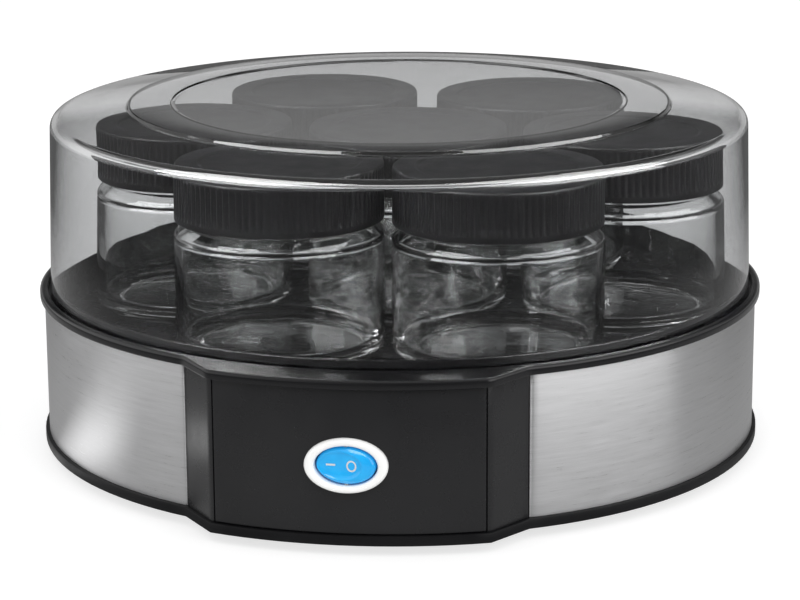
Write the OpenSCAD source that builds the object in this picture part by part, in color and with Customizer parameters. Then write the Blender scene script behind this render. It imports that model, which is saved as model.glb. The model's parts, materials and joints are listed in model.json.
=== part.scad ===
// Yogurt maker: a round heated base, seven screw-capped glass jars and a clear lid.
// The origin is on the axis of the base at the surface that the feet stand on. +Z is up.
// The control panel faces -Y. Angles named "from the front" start at -Y and grow towards +X.

/* [Base] */
// Outer radius of the steel band
band_r = 118; // [112:1:124]
// Height of the steel band
band_h = 44.9; // [42:0.1:50]
// Thickness of the steel band
band_t = 0.5; // [0.4:0.1:1]
// Height of the rubber feet below the bottom cover
foot_h = 3; // [2:0.5:5]
// Height of the black rim under the steel band
bottom_rim_h = 3.2; // [2.5:0.1:5]
// Height of the black rim above the steel band
top_rim_h = 2.9; // [2.5:0.1:4]
// How far both rims stand out past the steel band
rim_lip = 1.5; // [1:0.1:2]
// Height of the upstand that keeps the lid centred, above the top rim
upstand_h = 2.3; // [1.5:0.1:4]
// Depth of the jar well below the top rim
well_depth = 8; // [6:0.5:12]
// Wall thickness of the plastic mouldings
wall = 2; // [1.6:0.1:2.6]

/* [Front panel] */
// Radius of the curved front of the panel
panel_r = 127; // [125:0.5:130]
// Half angle of the panel's curved front
panel_half = 19.3; // [17:0.1:21]
// Half angle at which the panel's cheeks meet the steel band
cheek_half = 26.1; // [25:0.1:28]
// Thickness of the fascia
fascia_t = 1.8; // [1.5:0.1:2]
// Height of the switch's centre above the resting surface
switch_z = 27.7; // [24:0.1:32]

/* [Rocker switch] */
// Width of the oval bezel
bezel_w = 25.1; // [24:0.1:26]
// Height of the oval bezel
bezel_h = 16.9; // [16:0.1:18]
// Width of the rocker's oval opening
opening_w = 18.9; // [18:0.1:19.5]
// Height of the rocker's oval opening
opening_h = 12.3; // [12:0.1:13]
// How far the rocker tilts to each side
rocker_tilt = 9; // [6:0.5:10]

/* [Jars] */
// Radius of the circle that the outer jars stand on
jar_circle_r = 70.75; // [69:0.25:72]
// How far the whole group of loose jars stands towards +X
jar_group_x = 3; // [0:0.5:3]
// Outer radius of a jar
jar_r = 32.8; // [31:0.1:33]
// Wall thickness of a jar
jar_wall = 2.3; // [2:0.1:3]
// Height of a jar's glass
jar_h = 53.8; // [52:0.1:54]
// Outer radius of a jar's threaded neck
neck_r = 29.6; // [29:0.1:30]
// Outer radius of a cap
cap_r = 32.6; // [32:0.1:33]
// Height of a cap
cap_h = 15.5; // [14:0.1:16]
// Thickness of the sealing disc in a cap
liner_t = 1; // [0.8:0.1:1.2]

/* [Lid] */
// Height of the lid's shoulder above the resting surface
shoulder_z = 110; // [109.5:0.1:115]
// How far the middle of the lid rises above the shoulder
crown_h = 3.8; // [3:0.1:6]
// Outer radius of the lid's lower edge
lid_r = 116; // [115.8:0.1:116.2]
// How much the lid's wall leans in from the edge to the shoulder
lid_draft = 1.7; // [1:0.1:2]
// Wall thickness of the lid
lid_t = 2; // [1.8:0.1:2.2]
// Radius of the raised plateau on the lid
plateau_r = 88.8; // [85:0.1:92]
// Radius of the shallow dish in the plateau
dish_r = 73.5; // [70:0.1:78]

/* [Heater] */
// Radius of the aluminium heat plate
plate_r = 98; // [90:1:100]
// Radius of the heating element's ring
element_r = 70; // [64:1:76]
// Radius of the heating element's sheath
element_tube_r = 2.5; // [2:0.1:2.5]

/* [Hidden] */
$fn = 96;
SPOTS = ["centre", "front_right", "right", "back_right", "back_left", "left", "front_left"];

// Gap between parts that rest on each other but move apart
rest_gap = 0.3;
// Amount by which a cutting tool passes a face
over = 1;

black = "#222224";
grey_plastic = "#4a4a4c";
steel = "#b9bbbd";
brass = "#c9a24a";
rubber = "#2b2b2b";
white = "#f4f4f2";

// Levels of the base
cover_floor_z = foot_h + 2.5;
band_z0 = foot_h + bottom_rim_h;
band_z1 = band_z0 + band_h;
rim_top_z = band_z1 + top_rim_h;
groove_z = rim_top_z - 2.5;
well_z = rim_top_z - well_depth;
well_under_z = well_z - wall;
deck_shoulder_z = band_z1 - 2.6;

// Radii of the base
shell_r1 = band_r - band_t;
shell_r0 = shell_r1 - 2.6;
upstand_r = band_r - 4.6;
well_r = upstand_r - 1.6;
rim_r = band_r + rim_lip;
rim_front_r = panel_r + rim_lip;

// Heater stack, from the well's underside down
plate_t = 1.5;
plate_z = well_under_z - plate_t;
element_z = plate_z - element_tube_r;
insulation_top_z = plate_z - 2 * element_tube_r;
insulation_t = 2;
reflector_top_z = insulation_top_z - insulation_t;
reflector_t = 1;
reflector_z = reflector_top_z - reflector_t;
stack_screw_circle_r = 50;
stack_boss_r = 4;
element_gap = 20;
element_pin_r = 1.2;
element_pin_z = reflector_z - 6.5;
bush_r = 3.9;
thermostat_r = 8.8;
thermostat_neck_r = 6;
bracket_screw_x = 11.5;
bracket_screw_r = 1;
bracket_t = 1;

// Rubber feet
foot_circle_r = 98;
foot_r = 8;
foot_seat = 1.5;

// Screws
screw_r = 1.5;
screw_head_r = 3;
housing_screw_circle_r = 103;
housing_boss_r = 4.5;
housing_boss_z = foot_h + 9;

// Switch, placed on the panel's middle
bezel_back_y = 0.7 - panel_r;
bezel_front_y = bezel_back_y - 2.3;
pivot_y = bezel_back_y + 0.1;
rocker_r = opening_w / 2 - rest_gap;
rocker_face = 2;
rocker_reach = rocker_r * sin(asin(rocker_face / rocker_r) + rocker_tilt);
neck_wall = 1;
neck_hole_w = opening_w + 2 * neck_wall + 0.2;
neck_hole_h = opening_h + 2 * neck_wall + 0.2;
neck_hole_y = -110;
switch_neck_y = -120;
switch_back_y = -109;
terminal_end_y = -101;
terminal_pitch = 6.5;
pin_r = 0.8;

// Cord entry at the back, as far behind the axis as the rocker reaches in front of it
gland_end_y = rocker_reach - pivot_y;
gland_z = 18;
gland_bore_r = 3.3;
gland_neck_r = 5.9;
gland_nut_y = 110;
gland_nut_end_y = 114.2;
gland_nut_r = 8;
gland_flange_r = 8.6;
gland_flange_t = 2.4;
gland_sleeve_r = 7.2;
gland_tip_r = 5.4;
clamp_y = 98;
clamp_post_x = 9;
clamp_z = gland_z + 2;

// Mains terminal block on the floor of the bottom cover
block_y = 73;
block_size = [34, 14, 12];
block_pitch = 10;
wire_r = 1.1;
wire_z = cover_floor_z + 5;

// Jar levels
jar_z = well_z + rest_gap;
jar_top_z = jar_z + jar_h;
liner_z = jar_top_z + rest_gap;
cap_top_t = 1.6;
cap_top_z = liner_z + liner_t + cap_top_t;
cap_z = cap_top_z - cap_h;
// How far each loose jar stands off its place in the group, towards +X, in the order of SPOTS
JAR_NUDGE = [0, 0, 0, 0, -1.8, -1, 2.7];

function front_point(r, a) = [r * sin(a), -r * cos(a)];
function ring_point(r, a) = [r * cos(a), r * sin(a)];
function arc(c, r, a0, a1, n = 6) = [for (i = [0:n]) c + r * [cos(a0 + (a1 - a0) * i / n), sin(a0 + (a1 - a0) * i / n)]];
function ellipse(w, h, n = 64) = [for (i = [0:n - 1]) [w / 2 * cos(360 * i / n), h / 2 * sin(360 * i / n)]];
function spot(i) =
    (i == 0 ? [0, 0] : front_point(jar_circle_r, 60 * i - 30)) + [jar_group_x + JAR_NUDGE[i], 0];

function unit(v) = v / norm(v);
function between(a, b, c, d, t) =
    0.5 * (2 * b + (c - a) * t + (2 * a - 5 * b + 4 * c - d) * t * t + (3 * b - a - 3 * c + d) * t * t * t);
function smooth_route(p, n) = [
    for (i = [0:len(p) - 2]) for (k = [0:n - 1])
        between(p[max(i - 1, 0)], p[i], p[i + 1], p[min(i + 2, len(p) - 1)], k / n),
    p[len(p) - 1]];
function tangent(q, i) = unit(q[min(i + 1, len(q) - 1)] - q[max(i - 1, 0)]);
function square_to(v, t) = unit(v - (v * t) * t);
function sides(q, i, v) = i == len(q) ? [] : let (s = square_to(v, tangent(q, i))) concat([s], sides(q, i + 1, s));

// The round base's outline with the panel bulging out of its front
module bulged_outline(ring_r, front_r, half_front, half_cheek) {
    circle(ring_r);
    intersection() {
        circle(front_r);
        polygon([[0, 0], front_point(ring_r, half_cheek), front_point(front_r, half_front),
                 front_point(front_r * 1.1, half_front / 2), front_point(front_r * 1.1, -half_front / 2),
                 front_point(front_r, -half_front), front_point(ring_r, -half_cheek)]);
    }
}

// A wedge from the axis that covers the given half angle either side of the front
module front_wedge(half, r = 200) {
    polygon([[0, 0], front_point(r, half), front_point(r, 0), front_point(r, -half)]);
}

module tube(z, h, r1, r0) {
    translate([0, 0, z]) difference() {
        cylinder(h = h, r = r1);
        translate([0, 0, -over]) cylinder(h = h + 2 * over, r = r0);
    }
}

module rod(z, h, r) {
    translate([0, 0, z]) cylinder(h = h, r = r);
}

// Draws its children at each of n places on a circle
module around(n, r, first = 0) {
    for (i = [0:n - 1]) translate(ring_point(r, first + 360 * i / n)) children();
}

// A cylinder that points along +Y from y0 to y1
module rod_y(y0, y1, r, z = 0, r_end = -1) {
    translate([0, y0, z]) rotate([-90, 0, 0]) cylinder(h = y1 - y0, r1 = r, r2 = r_end < 0 ? r : r_end);
}

// An upright oval plate on the panel, from y0 back to y1
module oval_y(w, h, y0, y1) {
    translate([0, y1, switch_z]) rotate([90, 0, 0]) linear_extrude(y1 - y0) polygon(ellipse(w, h));
}

module wire(points, start) {
    sides_n = 8;
    q = smooth_route(points, 4);
    s = sides(q, 0, start);
    rings = [for (i = [0:len(q) - 1]) for (k = [0:sides_n - 1])
        q[i] + wire_r * (cos(360 * k / sides_n) * s[i] + sin(360 * k / sides_n) * cross(tangent(q, i), s[i]))];
    last = len(q) - 1;
    polyhedron(rings, concat(
        [[for (k = [0:sides_n - 1]) k]],
        [for (i = [0:last - 1]) for (k = [0:sides_n - 1]) let (k2 = (k + 1) % sides_n)
            [i * sides_n + k, (i + 1) * sides_n + k, (i + 1) * sides_n + k2, i * sides_n + k2]],
        [[for (k = [sides_n - 1:-1:0]) last * sides_n + k]]));
}

// ---- Base mouldings ----

module bottom_cover() {
    post_r = 3.5;
    slot_w = 2.4;
    slot_l = 22;
    slot_pitch = 9;
    color(black) difference() {
        union() {
            difference() {
                translate([0, 0, foot_h]) linear_extrude(bottom_rim_h)
                    bulged_outline(rim_r - 0.2, rim_front_r - 0.5, panel_half, cheek_half);
                translate([0, 0, cover_floor_z]) linear_extrude(bottom_rim_h)
                    bulged_outline(shell_r0 - 1.4, panel_r - 6, panel_half - 1, cheek_half - 1);
            }
            around(6, housing_screw_circle_r) rod(foot_h + over, housing_boss_z - foot_h - over, housing_boss_r);
            for (x = [-clamp_post_x, clamp_post_x]) translate([x, clamp_y])
                rod(foot_h + over, clamp_z - foot_h - over, post_r);
            translate([-3.5, clamp_y - 3, foot_h + over])
                cube([7, 6, gland_z - gland_bore_r - foot_h - over]);
        }
        around(6, housing_screw_circle_r) {
            rod(foot_h - over, 5 + over, screw_head_r + 0.6);
            rod(foot_h, housing_boss_z, screw_r + 0.3);
        }
        around(4, foot_circle_r, 45) {
            rod(foot_h - over, foot_seat + over, foot_r + 0.1);
            rod(foot_h, 4, 3);
        }
        for (x = [-clamp_post_x, clamp_post_x]) translate([x, clamp_y]) rod(clamp_z - 12, 12 + over, screw_r);
        for (y = [-34, 34], k = [-2:2]) translate([k * slot_pitch - slot_w / 2, y - slot_l / 2, foot_h - over])
            cube([slot_w, slot_l, 4]);
    }
}

module rubber_feet() {
    color(rubber) around(4, foot_circle_r, 45) {
        rotate_extrude() polygon([[0, 0], [foot_r - 1, 0], [foot_r, 1], [foot_r, foot_h + foot_seat],
                                  [3, foot_h + foot_seat],
                                  [3, cover_floor_z], [4, cover_floor_z], [3, cover_floor_z + 2],
                                  [0, cover_floor_z + 2]]);
    }
}

module housing_screws() {
    color(steel) around(6, housing_screw_circle_r) {
        rod(foot_h + 3, 2, screw_head_r);
        rod(foot_h + 5, 18, screw_r);
    }
}

module inner_shell() {
    rib_depth = shell_r0 - well_r - wall - 0.2;
    notch = gland_neck_r + 1.1;
    color(grey_plastic) difference() {
        translate([0, 0, band_z0]) linear_extrude(deck_shoulder_z - band_z0) difference() {
            circle(shell_r1);
            difference() {
                circle(shell_r0);
                for (a = [37.5:15:322.5]) rotate(a - 90) translate([shell_r0 - rib_depth, -1])
                    square([2 * rib_depth, 2]);
            }
            front_wedge(cheek_half + 0.2);
        }
        translate([-notch, 90, 0]) cube([2 * notch, 35, gland_z + notch]);
    }
}

module steel_band() {
    color(steel) difference() {
        tube(band_z0, band_h, band_r, shell_r1);
        translate([0, 0, band_z0 - over]) linear_extrude(band_h + 2 * over) front_wedge(cheek_half + 0.2);
        rod_y(90, 125, gland_neck_r + 0.1, gland_z);
    }
}

module front_housing() {
    back_r = panel_r - fascia_t;
    color(black) difference() {
        translate([0, 0, band_z0]) linear_extrude(band_h) intersection() {
            difference() {
                bulged_outline(band_r, panel_r, panel_half, cheek_half);
                bulged_outline(band_r - 2.8, back_r - 2.4, panel_half - 0.5, cheek_half - 0.6);
                intersection() {
                    difference() {
                        circle(panel_r + over);
                        circle(back_r);
                    }
                    front_wedge(panel_half - 0.4);
                }
            }
            front_wedge(cheek_half);
        }
        rod(deck_shoulder_z, band_h, shell_r1 + 0.1);
        oval_y(neck_hole_w, neck_hole_h, -panel_r - over, neck_hole_y);
    }
}

module front_panel() {
    inset = 0.2;
    color(black) difference() {
        translate([0, 0, band_z0 + inset]) linear_extrude(band_h - 2 * inset) intersection() {
            difference() {
                circle(panel_r);
                circle(panel_r - fascia_t);
            }
            front_wedge(panel_half - 0.4 - inset);
        }
        oval_y(neck_hole_w, neck_hole_h, -panel_r - over, neck_hole_y);
        oval_y(bezel_w + 0.4, bezel_h + 0.4, -panel_r - over, bezel_back_y);
    }
}

module top_deck() {
    color(black) difference() {
        union() {
            rotate_extrude() polygon(concat(
                [[0, well_under_z], [0, well_z]],
                arc([well_r - 2, well_z + 2], 2, -90, 0),
                arc([well_r + 0.8, rim_top_z + upstand_h - 0.8], 0.8, 180, 0),
                [[upstand_r, groove_z], [shell_r1 - 0.5, groove_z]],
                arc([shell_r1 + 0.1, rim_top_z - 0.6], 0.6, 180, 90, 3),
                arc([rim_r - 0.8, rim_top_z - 0.8], 0.8, 90, 0),
                [[rim_r, band_z1], [shell_r1, band_z1], [shell_r1, deck_shoulder_z],
                 [well_r + wall, deck_shoulder_z], [well_r + wall, well_under_z]]));
            translate([0, 0, band_z1]) linear_extrude(top_rim_h) difference() {
                intersection() {
                    bulged_outline(rim_r - 0.1, rim_front_r, panel_half, cheek_half);
                    front_wedge(cheek_half + 0.5);
                }
                circle(shell_r1 + 0.2);
            }
            around(6, housing_screw_circle_r) rod(housing_boss_z, well_z - over - housing_boss_z, housing_boss_r);
            around(4, stack_screw_circle_r, 45) rod(insulation_top_z, well_z - over - insulation_top_z, stack_boss_r);
        }
        around(6, housing_screw_circle_r) rod(housing_boss_z - over, 16 + over, screw_r);
        around(4, stack_screw_circle_r, 45) rod(insulation_top_z - over, 5 + over, screw_r);
    }
}

// ---- Heater ----

module heat_plate() {
    color("#c9cbcd") difference() {
        rod(plate_z, plate_t, plate_r);
        around(4, stack_screw_circle_r, 45) rod(plate_z - over, plate_t + 2 * over, stack_boss_r + 0.3);
    }
}

module heating_element() {
    color("#8f8b86") {
        rotate([0, 0, 90 + element_gap / 2]) rotate_extrude(angle = 360 - element_gap)
            translate([element_r, element_z]) circle(element_tube_r);
        for (s = [-1, 1]) translate(ring_point(element_r, 90 + s * element_gap / 2)) {
            rod(element_z - element_tube_r, 2 * element_tube_r, element_tube_r);
            rod(element_pin_z, element_z - element_pin_z, element_pin_r);
        }
    }
}

module element_bushes() {
    color(white) for (s = [-1, 1]) translate(ring_point(element_r, 90 + s * element_gap / 2))
        tube(reflector_z - 2, insulation_top_z - reflector_z + 2, bush_r, element_pin_r + 0.05);
}

module stack_holes(z, h) {
    around(4, stack_screw_circle_r, 45) rod(z - over, h + 2 * over, screw_r + 0.2);
    for (s = [-1, 1]) translate(ring_point(element_r, 90 + s * element_gap / 2)) rod(z - over, h + 2 * over, bush_r);
    rod(z - over, h + 2 * over, thermostat_r + 0.2);
}

module insulation_disc() {
    color("#cfc4a8") difference() {
        rod(reflector_top_z, insulation_t, plate_r - 3);
        stack_holes(reflector_top_z, insulation_t);
        around(2, bracket_screw_x) rod(reflector_top_z - over, over + 1.2, bracket_screw_r);
    }
}

module reflector_plate() {
    color(steel) difference() {
        rod(reflector_z, reflector_t, plate_r - 1);
        stack_holes(reflector_z, reflector_t);
        around(2, bracket_screw_x) rod(reflector_z - over, reflector_t + 2 * over, bracket_screw_r);
    }
}

module plate_screws() {
    color(steel) around(4, stack_screw_circle_r, 45) {
        rod(reflector_z - 2, 2, screw_head_r);
        rod(reflector_z, 7, screw_r);
    }
}

module thermostat() {
    color("#3a3a3c") {
        rod(reflector_z, plate_z - reflector_z, thermostat_r);
        rod(reflector_z - 4, 4, thermostat_neck_r);
    }
    color(brass) for (x = [-4, 4]) translate([x - 0.4, -3.15, reflector_z - 10]) cube([0.8, 6.3, 7]);
}

module thermostat_bracket() {
    color(steel) difference() {
        rod(reflector_z - bracket_t, bracket_t, 14);
        rod(reflector_z - bracket_t - over, bracket_t + 2 * over, thermostat_neck_r + 0.1);
        around(2, bracket_screw_x) rod(reflector_z - bracket_t - over, bracket_t + 2 * over, bracket_screw_r);
    }
}

module bracket_screws() {
    head_h = 1.4;
    color(steel) around(2, bracket_screw_x) {
        rod(reflector_z - bracket_t - head_h, head_h, 2 * bracket_screw_r);
        rod(reflector_z - bracket_t, 3, bracket_screw_r);
    }
}

fuse_pos = [25, 25];
fuse_r = 2;

module thermal_fuse() {
    color("#d9d4c5") translate([fuse_pos.x - 5, fuse_pos.y, reflector_z - fuse_r]) rotate([0, 90, 0]) {
        cylinder(h = 10, r = fuse_r);
        translate([0, 0, -3]) cylinder(h = 16, r = 0.5);
    }
}

module fuse_clip() {
    color(steel) translate([fuse_pos.x - 2, fuse_pos.y, reflector_z - fuse_r]) {
        difference() {
            rotate([0, 90, 0]) cylinder(h = 4, r = fuse_r + 0.6);
            rotate([0, 90, 0]) translate([0, 0, -over]) cylinder(h = 4 + 2 * over, r = fuse_r);
            translate([-over, -5, fuse_r - 0.2]) cube([4 + 2 * over, 10, 5]);
        }
        for (s = [-1, 1]) translate([0, s * 4.1 - 2.5, fuse_r - 0.6]) cube([4, 5, 0.6]);
    }
}

// ---- Switch ----

module switch_bezel() {
    color(white) difference() {
        union() {
            oval_y(bezel_w, bezel_h, bezel_front_y, bezel_back_y);
            oval_y(opening_w + 2 * neck_wall, opening_h + 2 * neck_wall, bezel_back_y, switch_neck_y);
        }
        oval_y(opening_w, opening_h, bezel_front_y - over, switch_neck_y + over);
        translate([0, pivot_y, 0]) rod(switch_z - 7, 14, pin_r);
    }
}

module switch_body() {
    depth = switch_back_y - switch_neck_y;
    color("#1d1d1f") difference() {
        translate([-9.8, switch_neck_y, switch_z - 6.8]) cube([19.6, depth, 13.6]);
        translate([-8.3, switch_neck_y - over, switch_z - 5.3]) cube([16.6, depth - 2 + over, 10.6]);
        for (k = [-1:1]) translate([k * terminal_pitch - 0.4, switch_back_y - 3, switch_z - 2.4]) cube([0.8, 4, 4.8]);
    }
}

module switch_rocker() {
    color("#22a7df") difference() {
        translate([0, pivot_y, 0]) rotate([0, 0, -rocker_tilt]) translate([0, -pivot_y, 0]) intersection() {
            oval_y(2 * rocker_r, opening_h - 2 * rest_gap, pivot_y - rocker_face, pivot_y + 3);
            translate([0, pivot_y, 0]) rod(switch_z - 10, 20, rocker_r);
        }
        translate([0, pivot_y, 0]) rod(switch_z - 10, 20, pin_r + 0.05);
    }
}

module rocker_pin() {
    color(steel) translate([0, pivot_y, 0]) rod(switch_z - 7, 14, pin_r);
}

module switch_terminals() {
    color(brass) for (k = [-1:1]) translate([k * terminal_pitch - 0.4, switch_back_y - 3, switch_z - 2.4])
        cube([0.8, terminal_end_y - switch_back_y + 3, 4.8]);
}

module switch_lamp() {
    color("#ffb27a") translate([-4, switch_neck_y + 4, switch_z]) rotate([0, 90, 0]) {
        cylinder(h = 8, r = 1.6);
        translate([0, 0, 8]) sphere(1.6);
    }
}

// ---- Cord entry and wiring ----

module cord_gland() {
    flange_y = band_r + 0.1;
    color(rubber) difference() {
        union() {
            rod_y(gland_nut_y, gland_nut_end_y, gland_nut_r, gland_z);
            rod_y(gland_nut_end_y, flange_y, gland_neck_r, gland_z);
            rod_y(flange_y, flange_y + gland_flange_t, gland_flange_r, gland_z);
            rod_y(flange_y + gland_flange_t, gland_end_y, gland_sleeve_r, gland_z, gland_tip_r);
        }
        rod_y(gland_nut_y - over, gland_end_y + over, gland_bore_r, gland_z);
    }
}

module cord_clamp() {
    color(white) difference() {
        translate([-13, clamp_y - 4, clamp_z]) cube([26, 8, 4]);
        rod_y(clamp_y - 5, clamp_y + 5, gland_bore_r, gland_z);
        for (x = [-clamp_post_x, clamp_post_x]) translate([x, clamp_y]) rod(clamp_z - over, 6, screw_r + 0.2);
    }
}

module clamp_screws() {
    color(steel) for (x = [-clamp_post_x, clamp_post_x]) translate([x, clamp_y]) {
        rod(clamp_z + 4, 2, screw_head_r);
        rod(clamp_z - 10, 14, screw_r);
    }
}

module terminal_block() {
    y0 = block_y - block_size.y / 2;
    color("#e9e6dc") difference() {
        translate([-block_size.x / 2, y0, cover_floor_z]) cube(block_size);
        for (k = [-1:1]) translate([k * block_pitch, 0]) {
            rod_y(block_y - 4, y0 + block_size.y + over, wire_r + 0.7, wire_z);
            for (s = [-1, 1]) translate([0, block_y + s * 3.4]) rod(wire_z + 1.8, block_size.z, 2);
        }
    }
}

module terminal_screws() {
    color(brass) for (k = [-1:1], s = [-1, 1]) translate([k * block_pitch, block_y + s * 3.4])
        rod(wire_z + 1.8, 4.4, 2);
}

// Each wire stops just short of the metal or block that it joins
wire_gap = 0.15;
block_face_y = block_y - block_size.y / 2 - wire_gap;
tab_y = terminal_end_y + wire_gap;
pin_end_z = element_pin_z - wire_gap;
pin_left = ring_point(element_r, 90 + element_gap / 2);
pin_right = ring_point(element_r, 90 - element_gap / 2);
blade_z = reflector_z - 10;

module live_wire() {
    color("#7a4a2a") wire([[-block_pitch, block_face_y, wire_z], [-block_pitch, 58, wire_z], [-22, 40, 9],
        [-38, 10, 8], [-38, -30, 8], [-28, -66, 10], [-12, -86, 20], [-terminal_pitch, -95, switch_z],
        [-terminal_pitch, tab_y, switch_z]], [1, 0, 0]);
}

module lamp_wire() {
    color("#2f62b5") wire([[block_pitch, block_face_y, wire_z], [block_pitch, 58, wire_z], [22, 40, 9],
        [38, 10, 8], [38, -30, 8], [28, -66, 10], [12, -86, 20], [terminal_pitch, -95, switch_z],
        [terminal_pitch, tab_y, switch_z]], [1, 0, 0]);
}

module switched_wire() {
    color("#7a4a2a") wire([[0, tab_y, switch_z], [0, -94, switch_z], [-2, -78, 20], [-6, -50, 12],
        [-7, -20, 12], [-4, -4, 15], [-4, 0, 19], [-4, 0, blade_z]], [1, 0, 0]);
}

module thermostat_wire() {
    color("#7a4a2a") wire([[4, 0, blade_z], [4, 0, 19], [5, 5, 15], [6, 16, 16], [9, 24, 25],
        [13, 25, reflector_z - fuse_r], [fuse_pos.x - 8, 25, reflector_z - fuse_r]], [1, 0, 0]);
}

module fuse_wire() {
    color("#7a4a2a") wire([[fuse_pos.x + 8, 25, reflector_z - fuse_r], [38, 26, reflector_z - fuse_r], [43, 34, 25],
        [38, 48, 19], [26, 60, 18], [16, 67, 20], [pin_right.x, pin_right.y, 24],
        [pin_right.x, pin_right.y, pin_end_z]], [0, 1, 0]);
}

module neutral_wire() {
    color("#2f62b5") wire([[0, block_face_y, wire_z], [0, 58, wire_z], [-6, 48, 12], [-16, 52, 17],
        [-18, 62, 19], [-15, 68, 21], [pin_left.x, pin_left.y, 24], [pin_left.x, pin_left.y, pin_end_z]],
        [1, 0, 0]);
}

// ---- Lid and jars ----

module lid() {
    edge_z = groove_z + rest_gap;
    round_r = 3.2;
    top_z = shoulder_z + crown_h;
    shoulder_r = lid_r - lid_draft;
    step_z = top_z - 1.1;
    dish_z = top_z - 0.5;
    color("#c8ccd0", 0.35) rotate_extrude() polygon(concat(
        [[0, dish_z - lid_t], [0, dish_z], [dish_r, dish_z], [dish_r + 1.2, top_z], [plateau_r, top_z],
         [plateau_r + 0.6, step_z]],
        arc([shoulder_r - round_r, shoulder_z - round_r], round_r, 83, 2, 8),
        [[lid_r, edge_z + 0.4], [lid_r - 0.3, edge_z], [lid_r - lid_t, edge_z]],
        arc([shoulder_r - round_r, shoulder_z - round_r], round_r - lid_t, 2, 83, 6),
        [[plateau_r + 0.2, step_z - lid_t], [plateau_r - 0.6, top_z - lid_t], [dish_r + 1.6, top_z - lid_t],
         [dish_r + 0.4, dish_z - lid_t]]));
}

module jar(i) {
    inner_r = jar_r - jar_wall;
    floor_z = jar_z + 3.2;
    shoulder = cap_z - 1.2;
    color("#dfe9ea", 0.4) translate(spot(i)) rotate_extrude() polygon(concat(
        [[0, jar_z + 1.4], [jar_r - 9, jar_z + 1], [jar_r - 6.5, jar_z]],
        arc([jar_r - 4.5, jar_z + 4.5], 4.5, -90, 0),
        arc([jar_r - 4, shoulder - 4], 4, 0, 70),
        [[neck_r, shoulder + 0.4], [neck_r, jar_top_z - 0.8], [neck_r - 0.8, jar_top_z],
         [neck_r - 1.6, jar_top_z], [neck_r - 2.4, jar_top_z - 0.8], [neck_r - 2.4, shoulder - 0.6]],
        arc([inner_r - 3.2, shoulder - 5], 3.2, 70, 0),
        [[inner_r, floor_z + 1], [inner_r - 1, floor_z], [0, floor_z]]));
}

module cap(i) {
    inner_r = neck_r + 0.9;
    edge = 1.5;
    color(black) translate(spot(i)) rotate_extrude() polygon(concat(
        [[0, cap_top_z - cap_top_t], [0, cap_top_z - 0.5], [25, cap_top_z - 0.5], [25.8, cap_top_z]],
        arc([cap_r - edge, cap_top_z - edge], edge, 90, 0),
        [[cap_r, cap_z + 0.5], [cap_r - 0.5, cap_z], [inner_r, cap_z], [inner_r, cap_top_z - cap_top_t]]));
}

module liner(i) {
    color(white) translate(spot(i)) rod(liner_z, liner_t, neck_r + 0.6);
}

bottom_cover();
rubber_feet();
housing_screws();
inner_shell();
steel_band();
front_housing();
front_panel();
top_deck();
heat_plate();
heating_element();
element_bushes();
insulation_disc();
reflector_plate();
plate_screws();
thermostat();
thermostat_bracket();
bracket_screws();
thermal_fuse();
fuse_clip();
switch_bezel();
switch_body();
switch_rocker();
rocker_pin();
switch_terminals();
switch_lamp();
cord_gland();
cord_clamp();
clamp_screws();
terminal_block();
terminal_screws();
live_wire();
lamp_wire();
switched_wire();
thermostat_wire();
fuse_wire();
neutral_wire();
lid();
for (i = [0:6]) jar(i);
for (i = [0:6]) cap(i);
for (i = [0:6]) liner(i);
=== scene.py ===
"""Looks of the yogurt maker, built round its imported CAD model. Metres, +Z up, control panel towards -Y."""

import json
import math

import bmesh
import bpy
from mathutils import Matrix, Vector


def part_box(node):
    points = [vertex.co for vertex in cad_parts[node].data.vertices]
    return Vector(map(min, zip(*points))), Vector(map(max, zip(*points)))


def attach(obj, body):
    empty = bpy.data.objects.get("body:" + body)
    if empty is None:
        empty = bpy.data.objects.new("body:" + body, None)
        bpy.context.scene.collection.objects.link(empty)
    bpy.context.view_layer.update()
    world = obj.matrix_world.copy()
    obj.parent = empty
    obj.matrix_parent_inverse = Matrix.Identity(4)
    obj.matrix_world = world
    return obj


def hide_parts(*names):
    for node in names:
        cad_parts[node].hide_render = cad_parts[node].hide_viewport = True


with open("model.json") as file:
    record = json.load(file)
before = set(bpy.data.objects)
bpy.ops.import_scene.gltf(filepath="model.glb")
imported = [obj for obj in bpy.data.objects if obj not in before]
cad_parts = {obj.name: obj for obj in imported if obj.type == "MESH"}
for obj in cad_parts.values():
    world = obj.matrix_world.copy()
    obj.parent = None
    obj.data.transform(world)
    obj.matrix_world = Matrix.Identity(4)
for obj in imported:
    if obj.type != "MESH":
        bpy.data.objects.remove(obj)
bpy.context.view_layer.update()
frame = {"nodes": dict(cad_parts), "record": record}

MM = 0.001
SPOTS = ("centre", "front_right", "right", "back_right", "back_left", "left", "front_left")

# ---- Sizes read from the frame ----

BAND_LOW, BAND_HIGH = (corner.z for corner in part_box("steel_band"))
BAND_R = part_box("steel_band")[1].x
RIM_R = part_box("top_deck")[1].x
RIM_FRONT_R = -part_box("top_deck")[0].y
UPSTAND_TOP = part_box("top_deck")[1].z
PANEL_R = -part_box("front_panel")[0].y
LID_LOW, LID_TOP = (corner.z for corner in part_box("lid"))
LID_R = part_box("lid")[1].x
JAR_LOW, JAR_TOP = (corner.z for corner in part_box("jar_centre"))
JAR_R = (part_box("jar_centre")[1].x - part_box("jar_centre")[0].x) / 2
CAP_LOW, CAP_TOP = (corner.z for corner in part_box("cap_centre"))
CAP_R = (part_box("cap_centre")[1].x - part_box("cap_centre")[0].x) / 2
BEZEL_BACK = -PANEL_R + 0.7 * MM
SWITCH_Z = (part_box("switch_bezel")[0].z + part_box("switch_bezel")[1].z) / 2
BEZEL_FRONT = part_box("switch_bezel")[0].y
BEZEL_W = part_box("switch_bezel")[1].x * 2
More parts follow.
